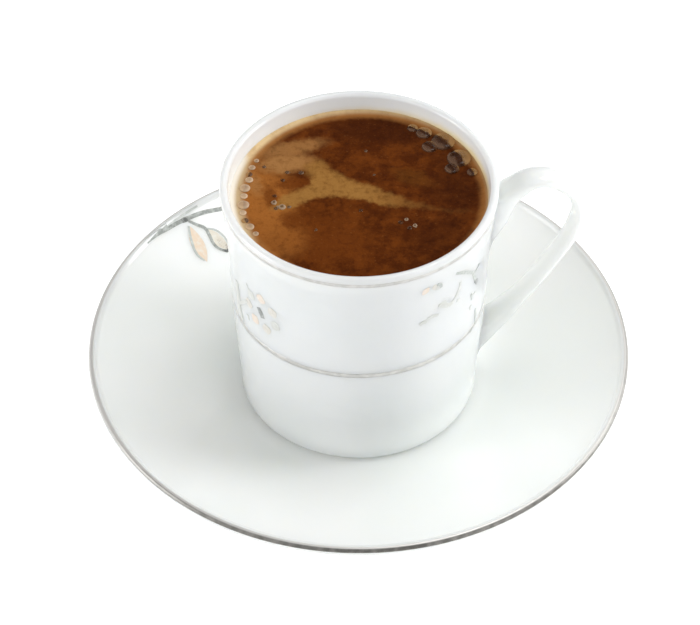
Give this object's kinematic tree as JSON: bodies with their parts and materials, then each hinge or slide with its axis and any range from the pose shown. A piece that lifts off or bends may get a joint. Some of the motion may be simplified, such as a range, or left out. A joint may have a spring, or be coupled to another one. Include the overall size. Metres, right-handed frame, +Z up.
{
  "type": "turkish coffee in its cup and saucer",
  "caption": "Small porcelain cup with an ear-shaped handle, filled with foamy Turkish coffee and standing in its wide shallow saucer.",
  "frame": {"origin": "on the table, under the centre of the saucer's foot ring", "axes": "+Z up along the axis of cup and saucer, +X towards the handle"},
  "size_m": [0.12, 0.12, 0.0636],
  "materials": {
    "saucer_glaze": "clear glossy glaze on white porcelain, with a thin platinum rim line and a floral spray",
    "cup_glaze": "clear glossy glaze on white porcelain, with two platinum lines and floral sprays",
    "coffee_foam": "dark brown coffee under a wet skin of tan and brown foam"
  },
  "bodies": {
    "root": {"saucer": "saucer_glaze", "cup": "cup_glaze", "coffee": "coffee_foam"}
  },
  "joints": []
}
